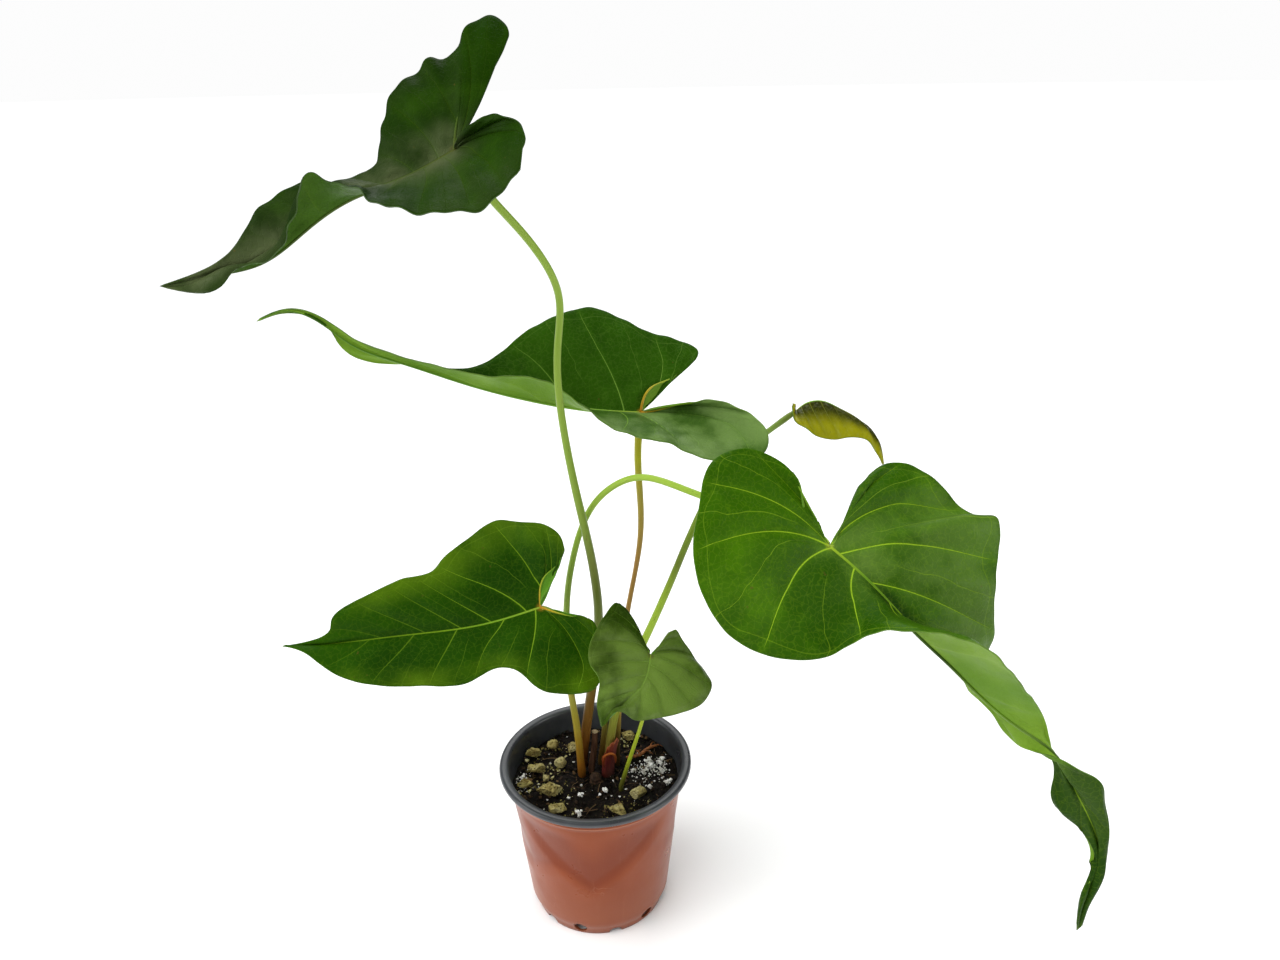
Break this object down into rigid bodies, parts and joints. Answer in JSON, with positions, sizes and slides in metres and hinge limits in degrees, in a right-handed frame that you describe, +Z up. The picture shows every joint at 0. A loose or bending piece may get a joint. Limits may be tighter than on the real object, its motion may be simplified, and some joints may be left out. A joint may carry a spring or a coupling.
{
  "type": "potted anthurium",
  "caption": "Leggy foliage anthurium with heart-shaped leaves on long stalks, growing in a round tapered plastic nursery pot of dark soil.",
  "frame": {"origin": "centre of the flat pad under the pot, on the surface the pot stands on", "axes": "+X to the side of the longest hanging leaf, +Y to the back of the plant, +Z up along the pot's axis"},
  "size_m": [0.4491, 0.2228, 0.5262],
  "materials": {
    "pot_plastic": "terracotta orange thin plastic, charcoal rim and inside, soft gloss",
    "potting_mix": "near-black loose crumbly mix",
    "rhizome_bark": "rough dark brown",
    "dry_stub": "dull brown with a pale cut end",
    "dry_scale": "papery dark red",
    "root_skin": "matte orange brown",
    "leaf_dark": "smooth leathery green, pale veins, satin",
    "leaf_grey_green": "leathery green with a greyish gloss",
    "leaf_bright": "leathery mid green, pale veins, satin",
    "leaf_young": "glossy olive to bronze",
    "stalk_green": "smooth yellow-green, satin",
    "stalk_brown": "smooth olive to orange-brown, satin",
    "porous_chunk": "porous yellow olive, matte",
    "perlite_grain": "white, matte"
  },
  "bodies": {
    "root": {"pot": "pot_plastic", "soil": "potting_mix", "crown": "rhizome_bark", "cut_stub": "dry_stub", "cataphyll": "dry_scale", "aerial_root": "root_skin", "blade_top": "leaf_dark", "blade_middle": "leaf_grey_green", "blade_side": "leaf_bright", "blade_low": "leaf_dark", "blade_small": "leaf_grey_green", "blade_young": "leaf_young", "petiole_top": "stalk_brown", "petiole_middle": "stalk_brown", "petiole_side": "stalk_green", "petiole_low": "stalk_green", "petiole_small": "stalk_green", "petiole_young": "stalk_green", "chunk_01": "porous_chunk", "chunk_02": "porous_chunk", "chunk_03": "porous_chunk", "chunk_04": "porous_chunk", "chunk_05": "porous_chunk", "chunk_06": "porous_chunk", "chunk_07": "porous_chunk", "chunk_08": "porous_chunk", "chunk_09": "porous_chunk", "chunk_10": "porous_chunk", "chunk_11": "porous_chunk", "chunk_12": "porous_chunk", "perlite_01": "perlite_grain", "perlite_02": "perlite_grain", "perlite_03": "perlite_grain", "perlite_04": "perlite_grain", "perlite_05": "perlite_grain", "perlite_06": "perlite_grain", "perlite_07": "perlite_grain", "perlite_08": "perlite_grain", "perlite_09": "perlite_grain", "perlite_10": "perlite_grain", "perlite_11": "perlite_grain", "perlite_12": "perlite_grain"}
  },
  "joints": []
}
